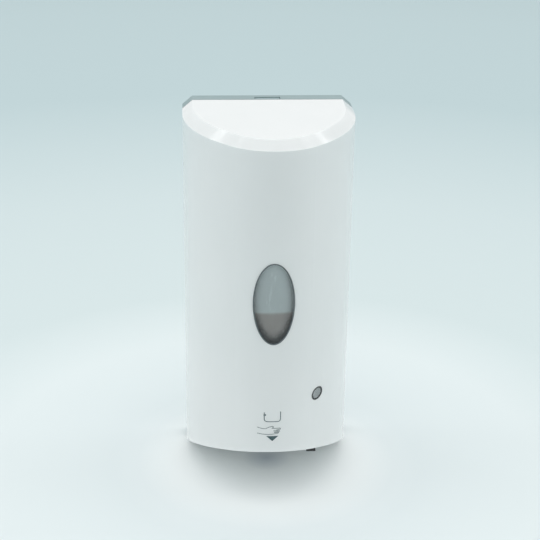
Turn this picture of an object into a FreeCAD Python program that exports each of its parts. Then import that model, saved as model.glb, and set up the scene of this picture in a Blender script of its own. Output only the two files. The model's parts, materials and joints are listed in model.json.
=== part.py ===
"""Touchless wall mounted soap dispenser, about 1.1 litres.

Millimetres. +X is the viewer's right, +Y points into the wall, +Z is up. The wall face is at y = 0.
While it is built, z = 0 is the cover's lower rear edge. Each finished sub-part is then lowered by the
height of the wall screw pattern's centre, so the origin is that centre, on the wall face.
"""
import FreeCAD, Part
import Sketcher
import math
import os
import re

DIMENSIONS = {
    # outer shape
    "width": 125.0,
    "height": 280.0,
    "side_radius": 104.5,
    "front_radius": 41.5,
    "straight_side": 15.54,
    "plate_depth": 11.0,
    "shell_gap": 0.6,
    "wall": 2.5,
    "chamfer_run": 7.3,
    "chamfer_drop": 6.25,
    "slope": 0.42,
    "sweep_room": 130.0,
    # wall plate and its screws
    "plate_sheet": 3.0,
    "plate_rim": 3.0,
    "screw_pitch_across": 70.0,
    "screw_pitch_up": 140.0,
    "wall_hole": 2.75,
    "wall_boss": 8.0,
    "wall_boss_front": 7.0,
    "housing_boss": 5.0,
    "rib_low": 1.0,
    "rib_high": 238.0,
    "datum": 190.0,
    # cover hinge and latch
    "hinge_back": 17.0,
    "hinge_up": 6.0,
    "hinge_pin": 2.0,
    "running": 0.05,
    "ear_inner": 52.5,
    "ear_outer": 56.5,
    "knuckle": 5.5,
    "pin_reach": 4.2,
    "socket_inner": 57.0,
    "socket_deep": 61.0,
    "latch_half": 9.0,
    "latch_front": 9.7,
    "latch_back": 5.0,
    "latch_low": 258.0,
    "latch_play": 0.4,
    "hook_half": 8.0,
    "hook_reach": 18.0,
    "catch_low": 270.0,
    "ledge_top": 243.0,
    "spring_depth": 7.2,
    # window and indicator in the cover
    "window_up": 161.7,
    "window_tall": 31.2,
    "window_wide": 14.85,
    "gasket_rim": 1.0,
    "indicator_across": 33.5,
    "indicator_up": 83.0,
    "indicator_front": 98.8,
    "indicator_turn": 12.0,
    "indicator_ring": 5.1,
    "indicator_clear": 3.9,
    # drive housing
    "housing_inset": 3.7,
    "housing_wall": 2.0,
    "housing_back": 12.0,
    "underside_recess": 1.5,
    "underside_sheet": 2.5,
    "deck_up": 112.0,
    "deck_sheet": 3.0,
    "niche_front": 94.0,
    "niche_up": 56.0,
    "large_pilot": 1.5,
    "small_pilot": 1.3,
    "screw_clearance": 1.8,
    "pan_head": 2.8,
    # outlet line, shared by reservoir neck, tube and nozzle
    "outlet_front": 66.9,
    "tube_outer": 3.0,
    "tube_inner": 2.0,
    "tube_bend": 10.0,
    "nozzle_tip": 19.0,
    "nozzle_flat": 1.5,
    "nozzle_top": 34.9,
    "nozzle_stem": 6.0,
    # pump
    "pump_across": -14.0,
    "pump_up": 62.0,
    "race": 17.0,
    "roller_orbit": 9.7,
    "roller": 4.0,
    "roller_pin": 1.2,
    "pump_back": 61.0,
    "pump_deep": 11.0,
    "gearbox_left": 37.0,
    "gearbox_right": 27.0,
    "gearbox_low": 32.0,
    "gearbox_high": 87.0,
    "rotor_front": 70.9,
    "rotor_back": 63.6,
    "rotor_disc": 12.6,
    "rotor_sheet": 1.0,
    "roller_gap": 0.3,
    # gear train
    "gear_module": 0.6,
    "gear_gap": 14.46,
    "gear_shaft": 1.0,
    "rotor_shaft": 2.0,
    "motor_shaft": 1.0,
    "motor": 12.0,
    "motor_back": 19.0,
    "motor_front": 48.4,
    "motor_plate_back": 48.5,
    "motor_plate_front": 50.0,
    "bush": 3.5,
    "gear_width": 2.6,
    "post": 2.6,
    # battery box, cells and door
    "box_left": 31.0,
    "box_right": 27.0,
    "box_back": 73.5,
    "box_front": 91.0,
    "box_low": 45.2,
    "box_wall": 1.5,
    "cell_pitch": 15.5,
    "cell_radius": 7.1,
    "cell_length": 50.5,
    "cell_nub": 2.7,
    "contact_sheet": 0.4,
    "spring_wire": 0.35,
    # reservoir
    "tank_inset": 6.0,
    "tank_wall": 2.0,
    "tank_back": 14.5,
    "tank_low": 116.0,
    "tank_high": 247.0,
    "liquid_up": 154.8,
    "neck": 6.0,
    "collar_bore": 7.0,
    "filler_front": 60.0,
    "filler": 17.0,
    "seal_wire": 1.05,
    # underside slide switch and sensor
    "switch_across": 30.9,
    "switch_front": 85.3,
    "knob_tall": 5.2,
    "sensor_front": 101.5,
    "pane_high": 2.5,
    "sensor_board": 6.4,
    # control board and leads
    "board_left": 29.0,
    "board_right": 40.0,
    "board_low": 51.0,
    "board_high": 108.0,
    "board_back": 76.5,
    "board_front": 78.1,
    "lead": 0.6,
    "lead_low": 54.4,
    "lead_pitch": 2.2,
}
GEAR_TEETH = 36
PINION_TEETH = 12
CAP_NOTCHES = 24
PRESSURE_ANGLE = math.radians(25)
GEAR_BACKLASH = 0.14

document = FreeCAD.newDocument("soap_dispenser")
dims = document.addObject("Spreadsheet::Sheet", "dims")
for row, (alias, number) in enumerate(DIMENSIONS.items(), start=1):
    dims.set(f"A{row}", str(number))
    dims.setAlias(f"A{row}", alias)
document.recompute()

parts = []


# ---- helpers: formulas over the sheet, primitives, booleans, sketches ----

def formula(text):
    """The text with each sheet alias written the way an expression of another object names it."""
    return re.sub(r"[a-z_]+", lambda word: "dims." + word[0] if word[0] in DIMENSIONS else word[0], str(text))


def value(text):
    return float(dims.evalExpression(str(text)))


def bind(item, **sizes):
    for name, text in sizes.items():
        item.setExpression(name, formula(text))


def locate(item, x, y, z):
    for axis, text in zip("xyz", (x, y, z)):
        item.setExpression("Placement.Base." + axis, formula(text))
    return item


def box(name, x, y, z):
    """A box between the pairs of formulas x, y and z."""
    item = document.addObject("Part::Box", name)
    bind(item, Length=f"({x[1]}) - ({x[0]})", Width=f"({y[1]}) - ({y[0]})", Height=f"({z[1]}) - ({z[0]})")
    return locate(item, x[0], y[0], z[0])


def turned(item, axis):
    """Stands an item that was made along +Z along the given axis instead."""
    if axis == "X":
        item.Placement = FreeCAD.Placement(FreeCAD.Vector(), FreeCAD.Rotation(FreeCAD.Vector(0, 1, 0), 90))
    if axis == "Y":
        item.Placement = FreeCAD.Placement(FreeCAD.Vector(), FreeCAD.Rotation(FreeCAD.Vector(1, 0, 0), -90))
    return item


def along(item, axis, start, centre):
    first, second = centre
    where = {"X": (start, first, second), "Y": (first, start, second), "Z": (first, second, start)}[axis]
    return locate(turned(item, axis), *where)


def rod(name, axis, span, centre, radius):
    """A cylinder along an axis; centre gives the other two coordinates in X, Y, Z order."""
    item = document.addObject("Part::Cylinder", name)
    bind(item, Radius=radius, Height=f"({span[1]}) - ({span[0]})")
    return along(item, axis, span[0], centre)


def cone(name, axis, span, centre, radii):
    item = document.addObject("Part::Cone", name)
    bind(item, Radius1=radii[0], Radius2=radii[1], Height=f"({span[1]}) - ({span[0]})")
    return along(item, axis, span[0], centre)


def ring(name, axis, level, centre, radii):
    item = document.addObject("Part::Torus", name)
    bind(item, Radius1=radii[0], Radius2=radii[1])
    return along(item, axis, level, centre)


def join(name, *items):
    item = document.addObject("Part::MultiFuse", name)
    item.Shapes = list(items)
    return item


def held(name, item):
    """The item inside a compound, so that it can be tilted about the origin."""
    compound = document.addObject("Part::Compound", name)
    compound.Links = [item]
    return compound


def cut(name, base, *tools):
    item = document.addObject("Part::Cut", name)
    item.Base = base
    item.Tool = tools[0] if len(tools) == 1 else join(name + "_tools", *tools)
    return item


def overlap(name, *items):
    item = document.addObject("Part::MultiCommon", name)
    item.Shapes = list(items)
    return item


def pipe(name, axis, span, centre, outer, inner):
    solid = rod(name + "_outer", axis, span, centre, outer)
    return cut(name, solid, rod(name + "_bore", axis, span, centre, inner))


def finish(item, label):
    """Names a finished sub-part and lowers it to the frame of the wall screws."""
    bound = {entry[0].lstrip("."): entry[1] for entry in item.ExpressionEngine}
    level = bound.get("Placement.Base.z", "0")
    item.setExpression("Placement.Base.z", f"{level} - dims.datum")
    item.Label = label
    parts.append(item)


def finish_shape(label, shape):
    """Keeps a shape that Part's functions made; the compound leaves the feature's own placement free."""
    item = document.addObject("Part::Feature", label + "_shape")
    item.Shape = Part.makeCompound([shape])
    finish(item, label)


def new_sketch(body, role, name, lift="0"):
    sketch = body.newObject("Sketcher::SketchObject", name)
    plane = [feature for feature in body.Origin.OriginFeatures if feature.Role == role][0]
    sketch.AttachmentSupport = (plane, "")
    sketch.MapMode = "FlatFace"
    sketch.setExpression("AttachmentOffset.Base.z", formula(lift))
    return sketch


def drive(sketch, kind, where, text, name):
    """Adds a named size to a sketch and binds it to the sheet."""
    index = sketch.addConstraint(Sketcher.Constraint(kind, *where, value(text)))
    sketch.renameConstraint(index, name)
    sketch.setExpression("Constraints." + name, formula(text))


def polygon(sketch, corners):
    """A closed outline through corners, each a pair of formulas."""
    points = [FreeCAD.Vector(value(x), value(y), 0) for x, y in corners]
    sketch.addGeometry([Part.LineSegment(a, b) for a, b in zip(points, points[1:] + points[:1])], False)
    for index, (x, y) in enumerate(corners):
        before = (index - 1) % len(corners)
        sketch.addConstraint(Sketcher.Constraint("Coincident", before, 2, index, 1))
        drive(sketch, "DistanceX", (-1, 1, index, 1), x, f"corner{index}x")
        drive(sketch, "DistanceY", (-1, 1, index, 1), y, f"corner{index}y")


def bow_outline(sketch, inset, back):
    """The plan of the dispenser: a straight back, two short straight sides, two wide arcs and a nose arc.

    The geometry runs right side, right arc, nose, left arc, left side, back.
    """
    half = value(f"width / 2 - ({inset})")
    side = value(f"side_radius - ({inset})")
    nose = value(f"front_radius - ({inset})")
    side_x = value("width / 2 - side_radius")
    side_y = value("-plate_depth - straight_side")
    reach = value("side_radius - front_radius")
    nose_y = side_y - math.sqrt(reach ** 2 - side_x ** 2)
    swing = math.acos(-side_x / reach)
    rear = value(f"-({back})")

    def arc(x, y, radius, start, end):
        circle = Part.Circle(FreeCAD.Vector(x, y, 0), FreeCAD.Vector(0, 0, 1), radius)
        return Part.ArcOfCircle(circle, start, end)

    corners = [FreeCAD.Vector(x, y, 0)
               for x, y in ((half, rear), (half, side_y), (-half, side_y), (-half, rear))]
    sketch.addGeometry([
        Part.LineSegment(corners[0], corners[1]),
        arc(side_x, side_y, side, -swing, 0),
        arc(0, nose_y, nose, swing - math.pi, -swing),
        arc(-side_x, side_y, side, math.pi, math.pi + swing),
        Part.LineSegment(corners[2], corners[3]),
        Part.LineSegment(corners[3], corners[0]),
    ], False)
    for tangent in ((0, 2, 1, 2), (1, 1, 2, 2), (2, 1, 3, 2), (3, 1, 4, 1)):
        sketch.addConstraint(Sketcher.Constraint("Tangent", *tangent))
    for joint in ((4, 2, 5, 1), (5, 2, 0, 1)):
        sketch.addConstraint(Sketcher.Constraint("Coincident", *joint))
    for edge in (0, 4):
        sketch.addConstraint(Sketcher.Constraint("Vertical", edge))
    sketch.addConstraint(Sketcher.Constraint("Horizontal", 5))
    drive(sketch, "DistanceX", (-1, 1, 0, 1), f"width / 2 - ({inset})", "right")
    drive(sketch, "DistanceX", (4, 1, -1, 1), f"width / 2 - ({inset})", "left")
    drive(sketch, "DistanceY", (0, 1, -1, 1), back, "rear")
    drive(sketch, "DistanceY", (0, 2, -1, 1), "plate_depth + straight_side", "right_end")
    drive(sketch, "DistanceY", (4, 1, -1, 1), "plate_depth + straight_side", "left_end")
    drive(sketch, "Radius", (1,), f"side_radius - ({inset})", "right_arc")
    drive(sketch, "Radius", (3,), f"side_radius - ({inset})", "left_arc")
    drive(sketch, "Radius", (2,), f"front_radius - ({inset})", "nose")


def bow_block(name, inset, back, low, high, run=None, drop=None):
    """A solid over the plan between two levels; run and drop, where given, chamfer its top edge."""
    body = document.addObject("PartDesign::Body", name)
    base = new_sketch(body, "XY_Plane", name + "_plan", low)
    bow_outline(base, inset, back)
    pad = body.newObject("PartDesign::Pad", name + "_pad")
    pad.Profile = base
    bind(pad, Length=f"({high}) - ({drop or 0}) - ({low})")
    if run:
        lower = new_sketch(body, "XY_Plane", name + "_shoulder", f"({high}) - ({drop})")
        bow_outline(lower, inset, back)
        upper = new_sketch(body, "XY_Plane", name + "_top", high)
        bow_outline(upper, f"{inset} + {run}", back)
        loft = body.newObject("PartDesign::AdditiveLoft", name + "_chamfer")
        loft.Profile = lower
        loft.Sections = [upper]
        loft.Ruled = True
    return body


def side_block(name, corners, half):
    """A solid whose side view is the outline through corners, reaching half each way along X."""
    body = document.addObject("PartDesign::Body", name)
    sketch = new_sketch(body, "YZ_Plane", name + "_side")
    polygon(sketch, corners)
    pad = body.newObject("PartDesign::Pad", name + "_pad")
    pad.Profile = sketch
    pad.Midplane = True
    bind(pad, Length=f"2 * ({half})")
    return body


def above_slope(name, lift, top):
    """Everything above the slanted bottom plane raised by lift."""
    corners = [
        ("1", f"{lift} - slope * (plate_depth + 1)"),
        ("1", top),
        ("-sweep_room", top),
        ("-sweep_room", f"{lift} + slope * (sweep_room - plate_depth)"),
    ]
    return side_block(name, corners, "width")


def front_block(name, corners, span):
    """A solid whose front view is the outline through corners, between two depths in front of the wall."""
    body = document.addObject("PartDesign::Body", name)
    sketch = new_sketch(body, "XZ_Plane", name + "_front", span[0])
    polygon(sketch, corners)
    pad = body.newObject("PartDesign::Pad", name + "_pad")
    pad.Profile = sketch
    bind(pad, Length=f"({span[1]}) - ({span[0]})")
    return body


def oval_bar(name, wide, tall, span):
    """An elliptic bar along Y at the window's centre, between two depths in front of the wall."""
    oval = document.addObject("Part::Ellipse", name + "_oval")
    bind(oval, MajorRadius=tall, MinorRadius=wide)
    upright = FreeCAD.Rotation(FreeCAD.Vector(1, 0, 0), 90) * FreeCAD.Rotation(FreeCAD.Vector(0, 0, 1), 90)
    oval.Placement = FreeCAD.Placement(FreeCAD.Vector(), upright)
    locate(oval, "0", f"-({span[0]})", "window_up")
    bar = document.addObject("Part::Extrusion", name)
    bar.Base = oval
    bar.DirMode = "Custom"
    bar.Dir = FreeCAD.Vector(0, -1, 0)
    bar.Solid = True
    bind(bar, LengthFwd=f"({span[1]}) - ({span[0]})")
    return bar


def tilted(item, across, front):
    """Lays an item made about the origin on the slanted bottom, its z = 0 on the underside sheet."""
    item.Placement = FreeCAD.Placement(FreeCAD.Vector(), FreeCAD.Rotation(FreeCAD.Vector(-1, 0, 0), 20))
    item.setExpression("Placement.Rotation.Angle", formula("atan(slope)"))
    return locate(item, across, f"-({front})", f"slope * ({front} - plate_depth) + underside_recess")


def screw(name, axis, tip, seat, centre, shank, head, head_tall):
    """A pan head screw from its tip to the seat of its head; the head stands beyond the seat."""
    forward = value(seat) > value(tip)
    shank_span = (tip, seat) if forward else (seat, tip)
    crown_span = (seat, f"{seat} + {head_tall}") if forward else (f"{seat} - {head_tall}", seat)
    slot_span = (f"{seat} + {head_tall} / 2", f"{seat} + {head_tall}")
    if not forward:
        slot_span = (f"{seat} - {head_tall}", f"{seat} - {head_tall} / 2")
    body = join(name + "_solid", rod(name + "_shank", axis, shank_span, centre, shank),
                rod(name + "_head", axis, crown_span, centre, head))
    return cut(name, body, rod(name + "_recess", axis, slot_span, centre, f"{head} * 0.4"))


def coil(centre, low, high, radius, wire, turns):
    """A closed spring solid along +Z around a centre."""
    helix = Part.makeHelix((high - low - 2 * wire) / turns, high - low - 2 * wire, radius)
    start = Part.Circle(FreeCAD.Vector(radius, 0, 0), FreeCAD.Vector(0, 1, 0), wire).toShape()
    spring = Part.Wire(helix.Edges).makePipeShell([Part.Wire([start])], True, True)
    spring.translate(FreeCAD.Vector(centre[0], centre[1], low + wire))
    return spring


# ---- wall plate ----

def plate_corners(inset):
    edge = f"width / 2 - {inset}"
    shoulder = f"height - chamfer_drop - 0.46 * {inset}"
    crest = f"width / 2 - chamfer_run - 0.37 * {inset}"
    top = f"height - {inset}"
    return [(f"-({edge})", inset), (edge, inset), (edge, shoulder), (crest, top),
            (f"-({crest})", top), (f"-({edge})", shoulder)]


def wall_screw_places():
    return [(f"{x} * screw_pitch_across / 2", f"datum + {z} * screw_pitch_up / 2")
            for x in (-1, 1) for z in (-1, 1)]


HOUSING_SCREWS = [("-45", "30"), ("45", "30"), ("-45", "98"), ("45", "98")]


def wall_plate():
    """A shallow tray against the wall with screw bosses, hinge ears and the guide of the latch."""
    tray = cut("plate_tray", front_block("plate_block", plate_corners("0.01"), ("0", "plate_depth")),
               front_block("plate_hollow", plate_corners("plate_rim"), ("plate_sheet", "plate_depth + 1")))
    added = [tray]
    removed = []
    for index, (x, z) in enumerate(wall_screw_places()):
        added.append(rod(f"wall_boss{index}", "Y", ("-wall_boss_front", "-1"), (x, z), "wall_boss"))
        removed.append(rod(f"wall_hole{index}", "Y", ("-wall_boss_front - 1", "1"), (x, z), "wall_hole"))
    for index, (x, z) in enumerate(HOUSING_SCREWS):
        added.append(rod(f"housing_boss{index}", "Y", ("-housing_back", "-1"), (x, z), "housing_boss"))
        removed.append(rod(f"housing_hole{index}", "Y", ("-housing_back - 1", "-plate_sheet"), (x, z),
                           "large_pilot"))
    for side in (-1, 1):
        span = ("ear_inner", "ear_outer") if side > 0 else ("-ear_outer", "-ear_inner")
        added.append(box(f"ear_arm{side + 1}", span, ("-hinge_back", "-1"),
                         ("hinge_up - knuckle", "hinge_up + knuckle")))
        added.append(rod(f"ear_end{side + 1}", "X", span, ("-hinge_back", "hinge_up"), "knuckle"))
        removed.append(rod(f"ear_hole{side + 1}", "X", (f"{span[0]} - 1", f"{span[1]} + 1"),
                           ("-hinge_back", "hinge_up"), "hinge_pin"))
        rail = ("latch_half + 1.4", "latch_half + 4")
        if side < 0:
            rail = ("-latch_half - 4", "-latch_half - 1.4")
        added.append(box(f"latch_rail{side + 1}", rail, ("-plate_depth", "-1"), ("250", "height - 2")))
    added.append(box("latch_ledge", ("-hook_half", "hook_half"), ("-plate_depth", "-1"),
                     ("ledge_top - 3", "ledge_top")))
    added.append(rod("latch_post", "Z", ("ledge_top", "ledge_top + 5"), ("0", "-spring_depth"), "1.6"))
    for index, x in enumerate((-30, 0, 30)):
        added.append(box(f"plate_rib{index}", (f"{x} - 1", f"{x} + 1"), ("-2 * plate_sheet", "-1"),
                         ("rib_low", "rib_high")))
    removed.append(box("latch_slot", ("-latch_half - latch_play", "latch_half + latch_play"),
                       ("-latch_front - latch_play", "-latch_back + latch_play"),
                       ("height - 6", "height + 1")))
    finish(cut("plate_done", join("plate_solid", *added), *removed), "wall_plate")


def hinge_pins():
    pins = []
    for side in (-1, 1):
        span = ("ear_inner - 1", "ear_outer + pin_reach")
        if side < 0:
            span = ("-ear_outer - pin_reach", "-ear_inner + 1")
        pins.append(rod(f"pin{side + 1}", "X", span, ("-hinge_back", "hinge_up"), "hinge_pin"))
    finish(join("pin_pair", *pins), "cover_hinge_pins")


# ---- front cover with its window and indicator ----

def outer_block(name):
    return bow_block(name, "0.01", "plate_depth + shell_gap", "-1", "height", "chamfer_run", "chamfer_drop")


def band(name, shallow, deep):
    """The space between two insets of the cover's plan over the window's and indicator's height."""
    outside = bow_block(name + "_outside", shallow, "60", "40", "230")
    return cut(name, outside, bow_block(name + "_inside", deep, "59", "39", "231"))


def front_cover():
    """The white shell, open at the back and the slanted bottom, with hinge sockets and a latch rib."""
    hollow = bow_block("cover_hollow", "wall", "0", "-2", "height - wall",
                       "chamfer_run - 0.63 * wall", "chamfer_drop - 0.54 * wall")
    shell = cut("cover_shell", overlap("cover_block", outer_block("cover_outside"),
                                       above_slope("cover_slope", "0", "height + 5")), hollow)
    heel = box("cover_heel", ("-width", "width"), ("-hinge_back", "0"), ("-10", "hinge_up"))
    heel_cut = cut("cover_heel_cut", heel,
                   rod("cover_heel_round", "X", ("-width", "width"), ("-hinge_back", "hinge_up"), "knuckle"))
    added = []
    removed = [heel_cut]
    for side in (-1, 1):
        boss = ("socket_inner", "width / 2 - 1")
        hole = ("socket_inner - 1", "socket_deep")
        if side < 0:
            boss = ("-width / 2 + 1", "-socket_inner")
            hole = ("-socket_deep", "-socket_inner + 1")
        added.append(rod(f"socket{side + 1}", "X", boss, ("-hinge_back", "hinge_up"), "knuckle"))
        removed.append(rod(f"socket_hole{side + 1}", "X", hole, ("-hinge_back", "hinge_up"),
                           "hinge_pin + running"))
    added.append(box("latch_rib", ("-latch_half", "latch_half"), ("-hook_reach + 3.5", "-plate_depth - 1"),
                     ("catch_low", "height - 1")))
    removed.append(oval_bar("window_hole", "window_wide", "window_tall", ("90", "sweep_room")))
    removed.append(indicator_bar("indicator_hole", "indicator_ring"))
    finish(cut("cover_done", join("cover_solid", shell, *added), *removed), "front_cover")


def window():
    """Oval window: a smoked lens with a flange behind the shell, in a dark rim."""
    clear_wide, clear_tall = "window_wide - gasket_rim", "window_tall - gasket_rim"
    lens = overlap("lens_face", band("lens_band", "0.3", "wall + 0.1"),
                   oval_bar("lens_bar", clear_wide, clear_tall, ("90", "sweep_room")))
    flange = overlap("lens_flange", band("flange_band", "wall + 0.1", "wall + 1.6"),
                     oval_bar("flange_bar", "window_wide + 3", "window_tall + 3", ("90", "sweep_room")))
    finish(join("lens_solid", lens, flange), "window_lens")
    rim = cut("rim_oval", oval_bar("rim_bar", "window_wide", "window_tall", ("90", "sweep_room")),
              oval_bar("rim_hole", clear_wide, clear_tall, ("89", "sweep_room + 1")))
    finish(overlap("rim_solid", rim, band("rim_band", "0.15", "wall")), "window_rim")


def indicator_bar(name, radius):
    """A round bar through the cover's wall at the indicator, turned towards the curve's normal."""
    bar = held(name, rod(name + "_rod", "Y", ("-6", "6"), ("0", "0"), radius))
    bar.Placement = FreeCAD.Placement(FreeCAD.Vector(), FreeCAD.Rotation(FreeCAD.Vector(0, 0, 1), 20))
    bar.setExpression("Placement.Rotation.Angle", formula("indicator_turn"))
    return locate(bar, "indicator_across", "-indicator_front", "indicator_up")


def indicator():
    """Round status indicator that follows the cover's curve: a dark ring around a clear light guide."""
    ring_bar = cut("ring_pipe", indicator_bar("ring_bar", "indicator_ring"),
                   indicator_bar("ring_hole", "indicator_clear"))
    finish(overlap("ring_solid", ring_bar, band("ring_band", "0.05", "wall")), "indicator_ring")
    guide = indicator_bar("guide_bar", "indicator_clear")
    finish(overlap("guide_solid", guide, band("guide_band", "0.3", "wall")), "indicator_lens")


# ---- cover latch ----

def latch():
    """Slide that holds the cover's catch: its tab stands in the plate's top edge and is pressed down."""
    depth = ("-latch_front", "-latch_back")
    body = box("latch_body", ("-latch_half", "latch_half"), depth, ("latch_low", "height - latch_play"))
    arm = box("latch_arm", ("-hook_half", "hook_half"), ("-hook_reach", "-latch_front + 0.7"),
              ("catch_low - 6", "catch_low - 2.5"))
    tooth = box("latch_tooth", ("-hook_half", "hook_half"), ("-hook_reach", "-hook_reach + 2.4"),
                ("catch_low - 3", "catch_low - latch_play"))
    seat = rod("latch_seat", "Z", ("latch_low - 1", "latch_low + 4"), ("0", "-spring_depth"), "1.7")
    wings = [box(f"latch_wing{side + 1}", (f"{side} * latch_half - 1", f"{side} * latch_half + 1"),
                 depth, ("latch_low + 2", "latch_low + 14")) for side in (-1, 1)]
    finish(cut("latch_done", join("latch_solid", body, arm, tooth, *wings), seat), "latch_slide")
    spring = coil((0.0, -value("spring_depth")), value("ledge_top"), value("latch_low"), 2.5,
                  value("spring_wire"), 6)
    finish_shape("latch_spring", spring)


# ---- drive housing and deck ----

DECK_SCREWS = [("-52.8", "-20"), ("52.8", "-20"), ("-47", "-62"), ("47", "-62")]
GEARBOX_POSTS = [("-33", "41"), ("-33", "83"), ("22", "83"), ("22.6", "36.4")]


def drive_housing():
    """The tub that holds pump, drive and batteries. Its floor is the slanted underside."""
    outside = overlap("tub_block", bow_block("tub_outside", "housing_inset", "housing_back", "0", "deck_up"),
                      above_slope("tub_low", "underside_recess", "deck_up + 5"))
    inside = overlap("tub_hollow", bow_block("tub_inside", "housing_inset + housing_wall",
                                             "housing_back + wall", "0", "deck_up + 1"),
                     above_slope("tub_floor", "underside_recess + underside_sheet", "deck_up + 5"))
    tub = cut("tub_shell", outside, inside)
    floor_half = above_slope("tub_base", "underside_recess", "deck_up")
    added = [tub]
    removed = [box("niche", ("-width", "width"), ("-sweep_room", "-niche_front"),
                   ("niche_up", "deck_up + 1")),
               box("door_way", ("-box_left - 1", "box_right + 1"), ("-sweep_room", "-box_front - 0.4"),
                   ("box_low + 0.8", "deck_up + 1"))]
    for index, (x, y) in enumerate(DECK_SCREWS):
        added.append(rod(f"deck_boss{index}", "Z", ("deck_up - 22", "deck_up"), (x, y), "4.6"))
        removed.append(rod(f"deck_hole{index}", "Z", ("deck_up - 17", "deck_up + 1"), (x, y), "small_pilot"))
    for index, (x, z) in enumerate(GEARBOX_POSTS):
        added.append(rod(f"drive_boss{index}", "Y", ("-motor_plate_back", "-housing_back - 1"), (x, z),
                         "post + 0.6"))
        removed.append(rod(f"drive_hole{index}", "Y", ("-motor_plate_front", "-motor_plate_back + 8.5"),
                           (x, z), "small_pilot"))
    for index, (x, z) in enumerate(HOUSING_SCREWS):
        removed.append(rod(f"tub_hole{index}", "Y", ("-housing_back - 8", "-plate_depth"), (x, z),
                           "screw_clearance"))
    outlet = ("0", "-outlet_front")
    collar = rod("nozzle_collar_rod", "Z", ("20", "nozzle_top - 1.9"), outlet, "nozzle_stem + 3")
    added.append(overlap("nozzle_collar", floor_half, collar))
    removed.append(rod("nozzle_hole", "Z", ("10", "40"), outlet, "nozzle_stem + 0.3"))
    removed.append(rod("indicator_light_hole", "Y", ("-sweep_room", "-niche_front + 19"),
                       ("indicator_across", "indicator_up"), "indicator_ring"))
    for side in (-1, 1):
        notch = ("ear_inner - 2.5", "width") if side > 0 else ("-width", "-ear_inner + 2.5")
        removed.append(box(f"ear_notch{side + 1}", notch, ("-hinge_back - 7.5", "0"), ("-1", "hinge_up + 7")))
    slot = box("switch_slot", ("-2.3", "2.3"), ("-4.8", "4.8"), ("-5", "8"))
    removed.append(tilted(held("switch_slot_tilt", slot), "switch_across", "switch_front"))
    sensor_slot = box("sensor_slot", ("-11.2", "11.2"), ("-4.7", "4.7"), ("-5", "8"))
    removed.append(tilted(held("sensor_slot_tilt", sensor_slot), "0", "sensor_front"))
    finish(cut("tub_done", join("tub_solid", *added), *removed), "drive_housing")


def housing_screws():
    screws = [screw(f"tub_screw{index}", "Y", "-plate_sheet - 1.5", "-housing_back - wall", place, "1.45",
                    "pan_head", "1.8") for index, place in enumerate(HOUSING_SCREWS)]
    finish(join("tub_screws", *screws), "housing_screws")


def reservoir_deck():
    """Lid of the drive housing: the seat of the reservoir, with the outlet socket and its spigot."""
    centre = ("0", "-outlet_front")
    deck = bow_block("deck_plate", "housing_inset", "housing_back", "deck_up", "deck_up + deck_sheet")
    socket = rod("socket_wall", "Z", ("deck_up - 10", "deck_up + 1"), centre, "collar_bore + 1.3")
    bore = rod("socket_bore", "Z", ("deck_up - 8", "deck_up + 5"), centre, "collar_bore")
    spigot = rod("spigot", "Z", ("deck_up - 17", "deck_up - 1.5"), centre, "tube_inner - running")
    way = rod("spigot_way", "Z", ("deck_up - 20", "deck_up + 1"), centre, "1.2")
    holes = [rod(f"deck_screw_hole{index}", "Z", ("deck_up - 1", "deck_up + 5"), place, "screw_clearance")
             for index, place in enumerate(DECK_SCREWS)]
    hollow = cut("socket_cup", join("deck_socket", deck, socket), bore, *holes)
    finish(cut("deck_done", join("deck_solid", hollow, spigot), way), "reservoir_deck")
    screws = [screw(f"deck_screw{index}", "Z", "deck_up - 9", "deck_up + deck_sheet", place, "1.25",
                    "pan_head", "0.7") for index, place in enumerate(DECK_SCREWS)]
    finish(join("deck_screw_set", *screws), "deck_screws")


# ---- battery box, cells, contacts and door ----

def cell_level(index):
    return f"box_low + box_wall + cell_pitch * {index + 0.5}"


def battery_box():
    """Open fronted box for four AA cells, stacked crosswise, with a wing that carries the control board."""
    outside = box("box_outside", ("-box_left", "box_right"), ("-box_front", "-box_back"),
                  ("box_low", "box_low + 4 * cell_pitch + 2 * box_wall"))
    inside = box("box_inside", ("box_wall - box_left", "box_right - box_wall"),
                 ("-box_front - 1", "-box_back - box_wall"),
                 ("box_low + box_wall", "box_low + 4 * cell_pitch + box_wall"))
    wing = box("box_wing", ("box_right - 1", "board_right + 0.2"), ("-box_back - box_wall", "-box_back"),
               ("board_low - 1", "board_high + 1"))
    pad_places = (("board_left + 2.5", "board_low + 3"), ("board_left + 2.5", "board_high - 3"),
                  ("board_right - 1", "board_low + 3"))
    pads = [rod(f"board_pad{index}", "Y", ("-board_back", "-box_back - 0.5"), place, "1.8")
            for index, place in enumerate(pad_places)]
    ridges = [box(f"cell_ridge{index}", ("-12", "8"), ("-box_back - 3.5", "-box_back - 1"),
                  (f"box_low + box_wall + cell_pitch * {index} - 0.5",
                   f"box_low + box_wall + cell_pitch * {index} + 0.5")) for index in (1, 2, 3)]
    relief = box("box_relief", ("-9", "9"), ("-box_back - box_wall - 0.4", "-box_back + 1"),
                 ("deck_up - 11.2", "deck_up"))
    solid = join("box_solid", cut("box_shell", outside, inside), wing, *pads, *ridges)
    finish(cut("box_done", solid, relief), "battery_box")


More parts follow.
